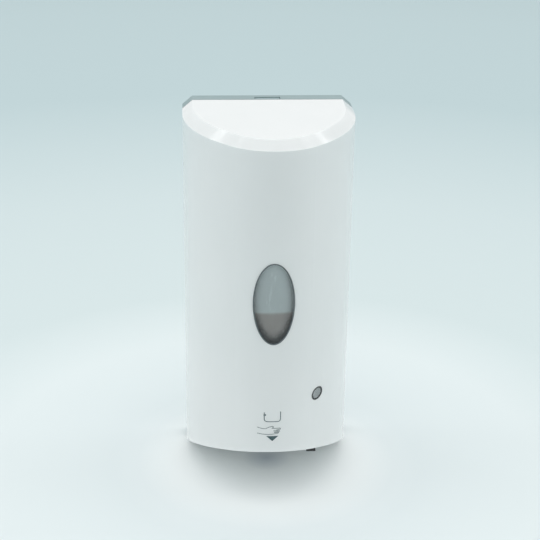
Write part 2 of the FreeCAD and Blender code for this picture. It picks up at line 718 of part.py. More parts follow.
def cells():
    bodies = []
    depth = "-box_back - box_wall - cell_radius - 1"
    for index in range(4):
        left = "box_wall - box_left + 2.6" if index % 2 else "box_wall - box_left + 3.9"
        centre = (depth, cell_level(index))
        can = rod(f"cell_can{index}", "X", (f"{left}", f"{left} + cell_length - 1.5"), centre, "cell_radius")
        nub_span = (f"{left} + cell_length - 2", f"{left} + cell_length - 0.1")
        if index % 2:
            can = rod(f"cell_flip{index}", "X", (f"{left} - 0.5", f"{left} + cell_length - 2"), centre,
                      "cell_radius")
            nub_span = (f"{left} - 2", f"{left}")
        bodies.append(join(f"cell{index}", can, rod(f"cell_nub{index}", "X", nub_span, centre, "cell_nub")))
    finish(join("cell_set", *bodies), "battery_cells")


def contacts():
    """Contact plates at both ends of the box, and a coil spring at each cell's flat end."""
    plates = []
    depth = ("-box_front + 4", "-box_back - box_wall - 2")
    for index in range(4):
        level = cell_level(index)
        for side, span in (("a", ("box_wall - box_left", "box_wall - box_left + contact_sheet")),
                           ("b", ("box_right - box_wall - contact_sheet", "box_right - box_wall"))):
            plates.append(box(f"contact_{side}{index}", span, depth, (f"{level} - 5", f"{level} + 5")))
    finish(join("contact_set", *plates), "contact_plates")
    springs = []
    back = value("-box_back - box_wall - cell_radius - 1")
    for index in range(4):
        length = value("box_left + box_right - 2 * box_wall - 2 * contact_sheet - cell_length") - 1.1
        spring = coil((0.0, 0.0), 0.0, length, 3.0, value("spring_wire"), 2.5)
        turn = FreeCAD.Rotation(FreeCAD.Vector(0, 1, 0), -90 if index % 2 else 90)
        start = value("box_wall - box_left + 2 * contact_sheet")
        if index % 2:
            start = value("box_right - box_wall - 2 * contact_sheet")
        spring.Placement = FreeCAD.Placement(FreeCAD.Vector(start, back, value(cell_level(index))), turn)
        springs.append(spring)
    finish_shape("battery_springs", Part.makeCompound(springs))


def battery_door():
    low, high = "box_low + 1.8", "box_low + 4 * cell_pitch + 2 * box_wall - 0.4"
    panel = box("door_panel", ("0.4 - box_left", "box_right - 0.4"), ("-box_front - 2", "-box_front - 0.3"),
                (low, high))
    grips = [box(f"door_grip{index}", ("-10", "6"), ("-box_front - 2.8", "-box_front - 1"),
                 (f"{high} - 8 - 2.5 * {index}", f"{high} - 7 - 2.5 * {index}")) for index in range(4)]
    lip = box("door_lip", ("box_wall - box_left + 0.3", "box_right - box_wall - 0.3"),
              ("-box_front - 1", "-box_front + 1.6"),
              ("box_low + box_wall + 0.4", "box_low + box_wall + 1.4"))
    tab = box("door_tab", ("-7", "3"), ("-box_front - 1", "-box_front + 1.6"),
              (f"{high} - 2.8", f"{high} - box_wall"))
    finish(join("door_solid", panel, lip, tab, *grips), "battery_door")


# ---- gears, motor and pump ----

def involute(angle):
    return math.tan(angle) - angle


def gear(teeth, centre, span, phase, bore):
    """A spur gear with its axis along Y; each flank is an arc through three points of the involute."""
    module = value("gear_module")
    pitch = module * teeth / 2
    base = pitch * math.cos(PRESSURE_ANGLE)
    tip = pitch + module * 0.95
    root = pitch - module * 1.25
    half = math.pi / (2 * teeth) - GEAR_BACKLASH / (4 * pitch) + involute(PRESSURE_ANGLE)

    def point(radius, angle):
        return FreeCAD.Vector(radius * math.cos(angle), 0, radius * math.sin(angle))

    def flank(radius, middle, side):
        turn = half - involute(math.acos(min(base / radius, 1.0)))
        return point(radius, middle + side * turn)

    edges = []
    start = max(base, root + 0.02)
    for tooth in range(teeth):
        middle = phase + 2 * math.pi * tooth / teeth
        after = middle + 2 * math.pi / teeth
        right = [flank(radius, middle, -1) for radius in (start, (start + tip) / 2, tip)]
        left = [flank(radius, middle, 1) for radius in (tip, (start + tip) / 2, start)]
        feet = [point(root, middle - half), point(root, middle + half), point(root, after - half)]
        edges.append(Part.LineSegment(feet[0], right[0]).toShape())
        edges.append(Part.Arc(*right).toShape())
        edges.append(Part.Arc(right[2], point(tip, middle), left[0]).toShape())
        edges.append(Part.Arc(*left).toShape())
        edges.append(Part.LineSegment(left[2], feet[1]).toShape())
        edges.append(Part.Arc(feet[1], point(root, (middle + after) / 2), feet[2]).toShape())
    disc = Part.Face(Part.Wire(edges)).extrude(FreeCAD.Vector(0, span[1] - span[0], 0))
    disc = disc.cut(Part.makeCylinder(bore, span[1] - span[0], FreeCAD.Vector(), FreeCAD.Vector(0, 1, 0)))
    disc.translate(FreeCAD.Vector(centre[0], span[0], centre[1]))
    return disc


def mesh_phase(teeth, centre, mate_teeth, mate_centre, mate_phase):
    """The angle of a gear's tooth that puts it in mesh with a gear already placed."""
    toward = math.atan2(mate_centre[1] - centre[1], mate_centre[0] - centre[0])
    mate_turn = (toward + math.pi - mate_phase) * mate_teeth / (2 * math.pi)
    return toward - (0.5 - mate_turn) * 2 * math.pi / teeth


def gear_centres():
    """Centres (x, z) of the rotor, the two compound gears and the motor, a constant distance apart."""
    places = [(value("pump_across"), value("pump_up"))]
    reach = value("gear_gap")
    for angle in map(math.radians, (30, -30, -90)):
        x, z = places[-1]
        places.append((x + reach * math.cos(angle), z + reach * math.sin(angle)))
    return places


def y_rod(centre, span, radius):
    start = FreeCAD.Vector(centre[0], span[0], centre[1])
    return Part.makeCylinder(radius, span[1] - span[0], start, FreeCAD.Vector(0, 1, 0))


def gear_train():
    """Three stages of three to one, from the motor pinion down to the output gear on the rotor shaft."""
    rotor, second, first, motor = gear_centres()
    shaft = value("rotor_shaft")
    axle = value("gear_shaft")
    bore = axle + value("running")
    output_phase = 0.0
    second_small = mesh_phase(PINION_TEETH, second, GEAR_TEETH, rotor, output_phase)
    second_large = 0.0
    first_small = mesh_phase(PINION_TEETH, first, GEAR_TEETH, second, second_large)
    first_large = 0.0
    pinion_phase = mesh_phase(PINION_TEETH, motor, GEAR_TEETH, first, first_large)
    width = value("gear_width")

    def gear_span(front):
        return (-front, width - front)

    def pinion_span(large_front):
        """The small gear of a compound gear stands in front of the large one, into the next stage."""
        return (-large_front - width - 0.8, -large_front + 0.2)

    output_front, second_front, first_front = 60.0, 56.8, 53.6
    finish_shape("output_gear", gear(GEAR_TEETH, rotor, gear_span(output_front), output_phase, shaft))
    small = gear(PINION_TEETH, second, pinion_span(second_front), second_small, bore)
    large = gear(GEAR_TEETH, second, gear_span(second_front), second_large, bore)
    finish_shape("second_gear", small.fuse(large).removeSplitter())
    small = gear(PINION_TEETH, first, pinion_span(first_front), first_small, bore)
    large = gear(GEAR_TEETH, first, gear_span(first_front), first_large, bore)
    finish_shape("first_gear", small.fuse(large).removeSplitter())
    motor_shaft = value("motor_shaft")
    finish_shape("motor_pinion", gear(PINION_TEETH, motor, (-53.8, -50.8), pinion_phase, motor_shaft))
    finish_shape("motor_shaft", y_rod(motor, (-54.4, -44.0), motor_shaft))
    finish_shape("rotor_shaft", y_rod(rotor, (-71.0, -48.9), shaft))
    axles = [y_rod(place, (-61.6, -49.0), axle) for place in (first, second)]
    finish_shape("gear_axles", Part.makeCompound(axles))


def motor():
    """Round direct current motor behind the motor plate, with its plastic end cap."""
    centre = gear_centres()[3]
    back, front, radius = -value("motor_back"), -value("motor_front"), value("motor")
    bore = y_rod(centre, (front - 0.6, -43.0), value("motor_shaft + running"))
    finish_shape("motor_can", y_rod(centre, (front, back), radius).cut(bore))
    cap = y_rod(centre, (back, back + 3.0), radius - 0.6)
    for side in (-1, 1):
        corner = FreeCAD.Vector(centre[0] + side * 5 - 1.2, back + 0.8, centre[1] + 9.0)
        cap = cap.fuse(Part.makeBox(2.4, 0.6, 4.0, corner))
    finish_shape("motor_end_cap", cap)


def motor_plate():
    """Flat plate that holds the motor, the gear axles and the rotor's bush."""
    rotor, second, first, motor_centre = gear_centres()
    plate = box("motor_plate_blank", ("-gearbox_left", "gearbox_right"),
                ("-motor_plate_front", "-motor_plate_back"), ("gearbox_low", "gearbox_high"))
    holes = [rod(f"motor_plate_hole{index}", "Y", ("-51", "-48"), place, "large_pilot")
             for index, place in enumerate(GEARBOX_POSTS)]
    blank = cut("motor_plate_cut", plate, *holes)
    document.recompute()
    shape = blank.Shape
    bush_radius, axle = value("bush"), value("gear_shaft")
    for place, radius in ((rotor, bush_radius), (second, axle), (first, axle), (motor_centre, 2.6)):
        shape = shape.cut(y_rod(place, (-51.0, -48.0), radius))
    finish_shape("motor_plate", shape)
    back, front = -value("motor_plate_back"), -value("motor_plate_front")
    collar = y_rod(rotor, (front - 0.8, front), bush_radius + 0.9)
    bush = y_rod(rotor, (front - 0.6, back), bush_radius).fuse(collar)
    finish_shape("shaft_bush", bush.cut(y_rod(rotor, (-52.0, -48.0), value("rotor_shaft + running"))))


def pump_body():
    """Base plate with the half round raceway wall that backs the tube."""
    rotor, second, first, _ = gear_centres()
    base = box("pump_base", ("-gearbox_left", "gearbox_right"), ("-pump_back - 2", "-pump_back"),
               ("gearbox_low", "gearbox_high"))
    wall = box("race_block", ("-gearbox_left - 1", "pump_across + 2"),
               ("-pump_back - pump_deep", "-pump_back"), ("gearbox_low + 6", "gearbox_high - 1"))
    room = ("-pump_back - pump_deep - 1", "-pump_back - 2")
    hollow = rod("race_bore", "Y", room, ("pump_across", "pump_up"), "race + tube_outer + 0.2")
    mouth = box("race_mouth", ("pump_across", "gearbox_right + 3"), room,
                ("pump_up - race - tube_outer - 0.2", "pump_up + race + tube_outer + 0.2"))
    holes = [rod(f"pump_post_hole{index}", "Y", ("-80", "-60"), place, "large_pilot")
             for index, place in enumerate(GEARBOX_POSTS)]
    holes.append(box("nozzle_notch", ("-10", "10"), ("-64", "-60"), ("31", "38")))
    solid = cut("pump_body_cut", join("pump_body_solid", base, cut("race_wall", wall, hollow, mouth)), *holes)
    document.recompute()
    shape = solid.Shape.cut(y_rod(rotor, (-64.0, -60.0), value("rotor_shaft") + 0.3))
    for place in (first, second):
        shape = shape.cut(y_rod(place, (-61.6, -60.0), value("gear_shaft")))
    finish_shape("pump_body", shape)
    posts = [pipe(f"spacer{index}", "Y", ("-pump_back", "-motor_plate_front"), place, "post", "large_pilot")
             for index, place in enumerate(GEARBOX_POSTS)]
    finish(join("spacer_set", *posts), "gearbox_spacers")
    screws = [screw(f"drive_screw{index}", "Y", "-motor_plate_back + 6.5",
                    "-pump_back - 2" if index > 1 else "-pump_back - pump_deep",
                    place, "small_pilot", "2.5", "1.2") for index, place in enumerate(GEARBOX_POSTS)]
    finish(join("drive_screw_set", *screws), "gearbox_screws")


def pump_cover():
    """Clear front plate of the pump."""
    depth = ("-pump_back - pump_deep - 1.1", "-pump_back - pump_deep")
    plate = box("pump_lid", ("-gearbox_left - 1", "pump_across + 22"), depth,
                ("gearbox_low + 5", "gearbox_high"))
    holes = [rod(f"pump_lid_hole{index}", "Y", ("-80", "-60"), place, "pan_head")
             for index, place in enumerate(GEARBOX_POSTS[:2])]
    finish(cut("pump_lid_done", plate, *holes), "pump_cover")


def roller_places():
    x, z = value("pump_across"), value("pump_up")
    orbit = value("roller_orbit")
    return [(x + orbit * math.cos(angle), z + orbit * math.sin(angle))
            for angle in map(math.radians, (60, 180, 300))]


def pump_rotor():
    """Two discs on a hub, three rollers on pins between them."""
    centre = gear_centres()[0]
    front, back, sheet = -value("rotor_front"), -value("rotor_back"), value("rotor_sheet")
    through = (front - 1.0, back + 1.0)
    pin = value("roller_pin")
    rotor = y_rod(centre, (front, back), 5.0)
    for span in ((front, front + sheet), (back - sheet, back)):
        rotor = rotor.fuse(y_rod(centre, span, value("rotor_disc")))
    rotor = rotor.cut(y_rod(centre, through, value("rotor_shaft")))
    for place in roller_places():
        rotor = rotor.cut(y_rod(place, through, pin))
    finish_shape("pump_rotor", rotor)
    pins = [y_rod(place, (front, back), pin) for place in roller_places()]
    finish_shape("roller_pins", Part.makeCompound(pins))
    between = value("rotor_sheet + roller_gap")
    bore = pin + value("running")
    for index, place in enumerate(roller_places(), start=1):
        roller = y_rod(place, (front + between, back - between), value("roller"))
        finish_shape(f"pump_roller_{index}", roller.cut(y_rod(place, through, bore)))


def pump_tube():
    """Silicone tube from the deck's spigot, once round the raceway, to the nozzle."""
    depth = value("-outlet_front")
    centre_x, centre_z = value("pump_across"), value("pump_up")
    race, bend = value("race"), value("tube_bend")
    top, bottom = centre_z + race, centre_z - race
    diagonal = bend * math.sqrt(0.5)

    def at(x, z):
        return FreeCAD.Vector(x, depth, z)

    inlet = at(0, value("deck_up - 10.3"))
    path = Part.Wire([
        Part.LineSegment(inlet, at(0, top + bend)).toShape(),
        Part.Arc(at(0, top + bend), at(diagonal - bend, top + bend - diagonal), at(-bend, top)).toShape(),
        Part.LineSegment(at(-bend, top), at(centre_x, top)).toShape(),
        Part.Arc(at(centre_x, top), at(centre_x - race, centre_z), at(centre_x, bottom)).toShape(),
        Part.LineSegment(at(centre_x, bottom), at(-bend, bottom)).toShape(),
        Part.Arc(at(-bend, bottom), at(diagonal - bend, bottom - bend + diagonal), at(0, bottom - bend))
        .toShape(),
        Part.LineSegment(at(0, bottom - bend), at(0, 31.0)).toShape(),
    ])
    solids = []
    for radius in (value("tube_outer"), value("tube_inner")):
        section = Part.Wire([Part.Circle(inlet, FreeCAD.Vector(0, 0, 1), radius).toShape()])
        solids.append(path.makePipeShell([section], True, True))
    finish_shape("pump_tube", solids[0].cut(solids[1]))


def nozzle():
    """Outlet under the slanted floor, with a silicone duckbill valve in its tip."""
    centre = ("0", "-outlet_front")
    shoulder = "nozzle_tip + nozzle_flat"
    body = join("nozzle_body", rod("nozzle_barrel", "Z", (shoulder, "nozzle_top"), centre, "nozzle_stem"),
                cone("nozzle_end", "Z", ("nozzle_tip", shoulder), centre, ("nozzle_stem - 1", "nozzle_stem")),
                rod("nozzle_flange", "Z", ("nozzle_top - 1.9", "nozzle_top"), centre, "nozzle_stem + 2.5"))
    finish(cut("nozzle_done", body,
               rod("nozzle_socket", "Z", ("31", "nozzle_top + 2.1"), centre, "tube_outer"),
               rod("nozzle_way", "Z", ("27", "32"), centre, "tube_inner"),
               rod("nozzle_pocket", "Z", ("nozzle_tip - 1", "28.5"), centre, "nozzle_stem - 2")), "nozzle")
    bill = cone("bill", "Z", (shoulder, "27.5"), centre, ("1.6", "3"))
    flange = rod("bill_flange", "Z", ("27", "28.5"), centre, "nozzle_stem - 2")
    slit = box("bill_slit", ("-4", "4"), ("-outlet_front - 0.12", "-outlet_front + 0.12"),
               ("nozzle_tip", "25"))
    way = cone("bill_way", "Z", ("nozzle_tip + 3.5", "29"), centre, ("0.6", "2.2"))
    finish(cut("bill_done", join("bill_solid", bill, flange), slit, way), "duckbill_valve")


# ---- reservoir ----

def reservoir():
    """Translucent bottle with a filler collar on top and an outlet neck underneath."""
    outside = bow_block("tank_outside", "tank_inset", "tank_back", "tank_low", "tank_high", "6", "5")
    inside_plan = ("tank_inset + tank_wall", "tank_back + tank_wall", "tank_low + tank_wall")
    inside = bow_block("tank_inside", *inside_plan, "tank_high - tank_wall", "5", "4.2")
    outlet = ("0", "-outlet_front")
    top = ("0", "-filler_front")
    neck = rod("tank_neck", "Z", ("tank_low - 10.5", "tank_low + 1"), outlet, "neck")
    neck_way = rod("tank_neck_way", "Z", ("tank_low - 11", "tank_low + 3"), outlet, "neck - 2")
    groove = ring("neck_groove", "Z", "tank_low - 5.5", outlet, ("neck - 0.1", "seal_wire"))
    collar = rod("filler_collar", "Z", ("tank_high - 1", "tank_high + 4.5"), top, "filler + 2")
    filler_way = rod("filler_way", "Z", ("tank_high - 4", "tank_high + 6"), top, "filler")
    lugs = [box(f"filler_lug{side + 1}", (f"{side} * (filler + 2.4) - 1", f"{side} * (filler + 2.4) + 1"),
                ("-filler_front - 3", "-filler_front + 3"), ("tank_high + 2.5", "tank_high + 4"))
            for side in (-1, 1)]
    finish(cut("tank_done", join("tank_solid", cut("tank_shell", outside, inside), neck, collar, *lugs),
               neck_way, filler_way, groove), "reservoir")
    finish(ring("neck_seal_ring", "Z", "tank_low - 5.5", outlet, ("neck - 0.1", "seal_wire")), "neck_seal")
    disc = pipe("valve_disc", "Z", ("tank_low - 9.5", "tank_low - 7.5"), outlet, "neck - 2",
                "tube_inner + running")
    finish(disc, "outlet_valve")
    finish(bow_block("liquid_block", *inside_plan, "liquid_up"), "soap_liquid")


def filler_cap():
    """Bayonet cap: a quarter turn frees it from the two lugs of the filler collar."""
    centre = ("0", "-filler_front")
    cup = rod("cap_cup", "Z", ("tank_high + 1", "tank_high + 8.2"), centre, "filler + 6")
    hollow = rod("cap_hollow", "Z", ("tank_high", "tank_high + 6"), centre, "filler + 4")
    grips = []
    for index in range(CAP_NOTCHES):
        angle = f"{index} * 360 deg / {CAP_NOTCHES}"
        across, front = f"(filler + 6.6) * cos({angle})", f"(filler + 6.6) * sin({angle}) - filler_front"
        grips.append(box(f"cap_notch{index}", (f"{across} - 1", f"{across} + 1"),
                         (f"{front} - 1", f"{front} + 1"), ("tank_high", "tank_high + 6.8")))
    finish(cut("cap_done", cup, hollow, *grips), "filler_cap")
    seal = pipe("cap_seal_ring", "Z", ("tank_high + 4.7", "tank_high + 6"), centre, "filler + 2.2",
                "filler - 1")
    finish(seal, "cap_seal")


# ---- control board, sensor and switch ----

def control_board():
    board = box("board_sheet", ("board_left", "board_right"), ("-board_front", "-board_back"),
                ("board_low", "board_high"))
    finish(board, "control_board")
    led_centre = ("indicator_across", "indicator_up")
    finish(join("led_solid", rod("led_body", "Y", ("-board_front - 2.9", "-board_front"), led_centre, "1.5"),
                rod("led_rim", "Y", ("-board_front - 0.9", "-board_front"), led_centre, "1.9")), "status_led")
    across = ("board_left + 2", "board_right - 1")
    chip = box("chip", across, ("-board_front - 1.6", "-board_front"), ("board_low + 13", "board_low + 21"))
    finish(chip, "control_chip")
    capacitors = [rod(f"capacitor{index}", "Y", ("-board_front - 5.9", "-board_front"), ("34", level), "2.6")
                  for index, level in enumerate(("board_high - 14", "board_high - 7"))]
    socket = box("lead_socket", across, ("-board_front - 4.9", "-board_front"),
                 ("board_low + 2", "board_low + 7"))
    finish(join("board_part_set", *capacitors, socket), "board_components")


def lead(points, radius):
    """A wire along straight runs joined by tangent arcs."""
    corners = [FreeCAD.Vector(*point) for point in points]
    edges = []
    last = corners[0]
    for before, corner, after in zip(corners, corners[1:], corners[2:]):
        back, on = before - corner, after - corner
        turn = math.pi - back.getAngle(on)
        reach = 0.45 * min(back.Length, on.Length)
        start = corner + back.normalize() * reach
        end = corner + on.normalize() * reach
        centre_way = (back + on).normalize()
        bend = reach / math.tan(turn / 2)
        middle = corner + centre_way * (bend / math.cos(turn / 2) - bend)
        edges.append(Part.LineSegment(last, start).toShape())
        edges.append(Part.Arc(start, middle, end).toShape())
        last = end
    edges.append(Part.LineSegment(last, corners[-1]).toShape())
    first = corners[1] - corners[0]
    section = Part.Wire([Part.Circle(corners[0], first, radius).toShape()])
    return Part.Wire(edges).makePipeShell([section], True, True)


def leads():
    """Two wires from the motor's end cap to the control board, and two short ones from the battery box."""
    motor_across, motor_up = gear_centres()[3]
    low, pitch = value("lead_low"), value("lead_pitch")
    wires = []
    for side, level in ((-1, low), (1, low + pitch)):
        tab = motor_across + side * 5
        route = [(tab, -17.9, motor_up + 13.05), (tab, -19.0, 70.0 + 2 * side),
                 (30.0, -24.0, 74.0 + 2 * side), (42.4, -40.0, 70.0 + 2 * side),
                 (41.2, -66.0, 62.0 + 2 * side), (41.2, -78.6, level), (39.5, -80.6, level)]
        wires.append(lead(route, value("lead")))
    finish_shape("motor_leads", Part.makeCompound(wires))
    short = [rod(f"battery_lead{index}", "X", ("box_right", "board_left + 2"), ("-80.5", level), "lead")
             for index, level in enumerate(("lead_low", "lead_low + lead_pitch"))]
    finish(join("battery_lead_set", *short), "battery_leads")


def sensor():
    """Infrared emitter and receiver on their board, looking down through a dark red window."""
    pane = join("pane_solid", box("pane", ("-11", "11"), ("-4.5", "4.5"), ("0.2", "pane_high")),
                box("pane_flange", ("-12.5", "12.5"), ("-5.2", "5.2"), ("pane_high", "pane_high + 1")))
    finish(tilted(pane, "0", "sensor_front"), "sensor_window")
    board = held("sensor_sheet", box("sensor_plate", ("-12", "12"), ("-5", "5"),
                                     ("sensor_board", "sensor_board + 1")))
    finish(tilted(board, "0", "sensor_front"), "sensor_board")
    for label, across in (("ir_emitter", "-5"), ("ir_receiver", "5")):
        centre = (across, "0")
        dome = join(label + "_solid",
                    rod(label + "_body", "Z", ("sensor_board - 2.5", "sensor_board"), centre, "2.5"),
                    rod(label + "_rim", "Z", ("sensor_board - 0.8", "sensor_board"), centre, "2.9"))
        finish(tilted(dome, "0", "sensor_front"), label)


def power_switch():
    """Slide switch on the underside: a body above the floor and a tall knob in a slot."""
    body = cut("switch_shell",
               box("switch_block", ("-3.2", "3.2"), ("-5.8", "5.8"), ("underside_sheet", "8")),
               box("switch_hollow", ("-2.4", "2.4"), ("-5.0", "5.0"), ("1", "6.6")))
    finish(tilted(body, "switch_across", "switch_front"), "switch_body")
    depth = ("-4.4", "-0.4")
    knob = join("knob_solid", box("knob_stem", ("-2", "2"), depth, ("-knob_tall", "4")),
                box("knob_tip", ("-3.4", "3.4"), depth, ("-knob_tall", "-0.5")),
                box("knob_foot", ("-2.2", "2.2"), ("-4.7", "0.6"), ("underside_sheet + 0.3", "6")))
    finish(tilted(knob, "switch_across", "switch_front"), "power_knob")


def export():
    document.recompute()
    failed = [item.Name for item in document.Objects if {"Invalid", "Error"} & set(item.State)]
    broken = [item.Label for item in parts if item.Shape.isNull() or not item.Shape.isValid()]
    if failed or broken:
        raise SystemExit(f"failed: {failed}, broken: {broken}")
    os.makedirs("parts", exist_ok=True)
    for item in parts:
        item.Shape.exportStep(os.path.join("parts", item.Label + ".step"))


def build():
    wall_plate()
    hinge_pins()
    front_cover()
    window()
    indicator()
    latch()
    drive_housing()
    housing_screws()
    reservoir_deck()
    battery_box()
    cells()
    contacts()
    battery_door()
    gear_train()
    motor()
    motor_plate()
    pump_body()
    pump_cover()
    pump_rotor()
    pump_tube()
    nozzle()
    reservoir()
    filler_cap()
    control_board()
    leads()
    sensor()
    power_switch()
    export()


build()
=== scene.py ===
"""Touchless wall soap dispenser: materials, printed mark, latch spring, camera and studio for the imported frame."""
import json
import math

import bpy
from mathutils import Matrix, Vector
from mathutils.bvhtree import BVHTree


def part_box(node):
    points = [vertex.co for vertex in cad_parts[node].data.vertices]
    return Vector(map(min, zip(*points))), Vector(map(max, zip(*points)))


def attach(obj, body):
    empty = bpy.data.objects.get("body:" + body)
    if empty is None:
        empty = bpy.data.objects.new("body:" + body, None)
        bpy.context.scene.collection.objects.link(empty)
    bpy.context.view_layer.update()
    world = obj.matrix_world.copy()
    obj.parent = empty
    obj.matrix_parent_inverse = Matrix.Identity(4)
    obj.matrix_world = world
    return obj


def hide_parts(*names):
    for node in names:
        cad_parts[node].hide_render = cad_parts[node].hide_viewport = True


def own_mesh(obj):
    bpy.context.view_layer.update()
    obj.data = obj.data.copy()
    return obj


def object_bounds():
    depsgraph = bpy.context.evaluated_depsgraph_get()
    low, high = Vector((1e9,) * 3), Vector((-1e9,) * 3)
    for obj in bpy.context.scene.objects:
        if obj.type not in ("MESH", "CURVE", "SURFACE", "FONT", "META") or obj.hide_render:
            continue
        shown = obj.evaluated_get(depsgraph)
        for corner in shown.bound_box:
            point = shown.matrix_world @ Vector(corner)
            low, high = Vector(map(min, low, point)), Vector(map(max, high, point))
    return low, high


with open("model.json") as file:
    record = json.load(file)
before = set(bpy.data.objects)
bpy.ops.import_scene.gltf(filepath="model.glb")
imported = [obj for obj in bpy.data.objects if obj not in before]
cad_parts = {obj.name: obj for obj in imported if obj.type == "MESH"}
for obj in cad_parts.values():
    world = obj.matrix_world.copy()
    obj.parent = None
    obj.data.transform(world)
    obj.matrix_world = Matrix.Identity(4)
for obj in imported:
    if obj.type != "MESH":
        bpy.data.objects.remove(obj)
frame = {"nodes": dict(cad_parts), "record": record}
cad_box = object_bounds()
nodes = frame["nodes"]
scene = bpy.context.scene
MM = 0.001
DATUM = 190 * MM  # height of the frame's origin above the unit's lower rear edge
SOAP_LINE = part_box("soap_liquid")[1].z - 2 * MM  # the wall shows dark from a little under the soap's top
WINDOW_UP, WINDOW_HALF_WIDE, WINDOW_HALF_TALL = 161.7 * MM - DATUM, 14.85 * MM, 31.2 * MM


# ---------------------------------------------------------------- camera
EYE = Vector((-0.0579, -0.9634, 0.3608))
YAW, PITCH, ROLL = 0.0643, 0.403, 0.0135
LENS = 89.47

forward = Vector((math.sin(YAW) * math.cos(PITCH), math.cos(YAW) * math.cos(PITCH), -math.sin(PITCH)))
level_right = Vector((math.cos(YAW), -math.sin(YAW), 0))
level_up = level_right.cross(forward)
right = level_right * math.cos(ROLL) + level_up * math.sin(ROLL)
up = level_up * math.cos(ROLL) - level_right * math.sin(ROLL)

camera = bpy.data.objects.new("camera", bpy.data.cameras.new("camera"))
camera.data.lens = LENS
camera.data.sensor_width = 36
camera.data.clip_start, camera.data.clip_end = 0.01, 50
turn = Matrix((right, up, -forward)).transposed()
camera.matrix_world = Matrix.Translation(EYE) @ turn.to_4x4()
scene.collection.objects.link(camera)
scene.camera = camera


# ---------------------------------------------------------------- materials
class Nodes:
    """A new material with a Principled shader, and short calls that add and link nodes."""

    def __init__(self, name, **sockets):
        self.material = bpy.data.materials.new(name)
        self.material.use_nodes = True
        self.tree = self.material.node_tree
        self.shader = self.tree.nodes["Principled BSDF"]
        for socket, value in sockets.items():
            self.shader.inputs[socket.replace("_", " ")].default_value = value
        self.place = self.add("ShaderNodeTexCoord").outputs["Object"]

    def add(self, kind, **settings):
        node = self.tree.nodes.new(kind)
        for name, value in settings.items():
            setattr(node, name, value)
        return node

    def link(self, output, node_input):
        self.tree.links.new(output, node_input)

    def stretched(self, scale):
        """Object coordinates multiplied by scale, a number along each axis."""
        mapping = self.add("ShaderNodeMapping")
        mapping.inputs["Scale"].default_value = scale
        self.link(self.place, mapping.inputs["Vector"])
        return mapping.outputs["Vector"]

    def noise(self, scale, detail=2.0, rough=0.5, stretch=None):
        node = self.add("ShaderNodeTexNoise")
        node.inputs["Scale"].default_value = scale
        node.inputs["Detail"].default_value = detail
        node.inputs["Roughness"].default_value = rough
        self.link(self.stretched(stretch) if stretch else self.place, node.inputs["Vector"])
        return node.outputs["Fac"]

    def ramp(self, factor, *stops):
        """A colour ramp with (position, colour) stops."""
        node = self.add("ShaderNodeValToRGB")
        elements = node.color_ramp.elements
        while len(elements) < len(stops):
            elements.new(0.5)
        for element, (position, colour) in zip(elements, stops):
            element.position = position
            element.color = (*colour, 1)
        self.link(factor, node.inputs["Fac"])
        return node.outputs["Color"]

    def span(self, factor, low, high):
        """factor, from 0.3 to 0.7 as noise gives, spread over low to high."""
        node = self.add("ShaderNodeMapRange")
        for socket, value in (("From Min", 0.3), ("From Max", 0.7), ("To Min", low), ("To Max", high)):
            node.inputs[socket].default_value = value
        self.link(factor, node.inputs["Value"])
        return node.outputs["Result"]

    def rise(self, output, low, high, smooth=True):
        """0 where output is low, 1 where it is high."""
        node = self.add("ShaderNodeMapRange", interpolation_type="SMOOTHSTEP" if smooth else "LINEAR")
        node.inputs["From Min"].default_value, node.inputs["From Max"].default_value = low, high
        self.link(output, node.inputs["Value"])
        return node.outputs["Result"]

    def split(self):
        """The outputs X, Y and Z of the object coordinates."""
        node = self.add("ShaderNodeSeparateXYZ")
        self.link(self.place, node.inputs["Vector"])
        return node.outputs

    def math(self, operation, first, second=0.0):
        node = self.add("ShaderNodeMath", operation=operation)
        for socket, value in zip(node.inputs, (first, second)):
            if isinstance(value, (int, float)):
                socket.default_value = value
            else:
                self.link(value, socket)
        return node.outputs["Value"]

    def mix(self, factor, first, second):
        node = self.add("ShaderNodeMix", data_type="RGBA")
        for name, value in (("Factor", factor), ("A", first), ("B", second)):
            socket = node.inputs[name]
            if isinstance(value, (int, float)):
                socket.default_value = value
            elif isinstance(value, tuple):
                socket.default_value = (*value, 1)
            else:
                self.link(value, socket)
        return node.outputs["Result"]

    def colour(self, output):
        self.link(output, self.shader.inputs["Base Color"])

    def roughness(self, output):
        self.link(output, self.shader.inputs["Roughness"])

    def bump(self, height, distance, strength=1.0):
        """Adds height, 0 to 1, as relief of distance metres, on top of any bump already there."""
        node = self.add("ShaderNodeBump")
        node.inputs["Strength"].default_value = strength
        node.inputs["Distance"].default_value = distance
        self.link(height, node.inputs["Height"])
        normal = self.shader.inputs["Normal"]
        if normal.links:
            self.link(normal.links[0].from_socket, node.inputs["Normal"])
        self.link(node.outputs["Normal"], normal)


def shade(colour, amount):
    return tuple(min(1.0, c * amount) for c in colour)


def plastic(name, colour, rough, grain=0.00002, grain_scale=1800, waviness=0.00004, vary=0.03, **sockets):
    """Moulded plastic: faint tone drift, spark-eroded grain and the slow waviness of a thick moulding."""
    made = Nodes(name, **sockets)
    drift = made.noise(14, 3, 0.55)
    made.colour(made.ramp(drift, (0.3, shade(colour, 1 - vary)), (0.7, shade(colour, 1 + vary))))
    fine = made.noise(grain_scale, 3, 0.6)
    made.roughness(made.span(made.noise(90, 4, 0.6), rough * 0.85, rough * 1.15))
    made.bump(fine, grain, 0.5)
    made.bump(made.noise(26, 1, 0.4), waviness, 0.3)
    return made.material


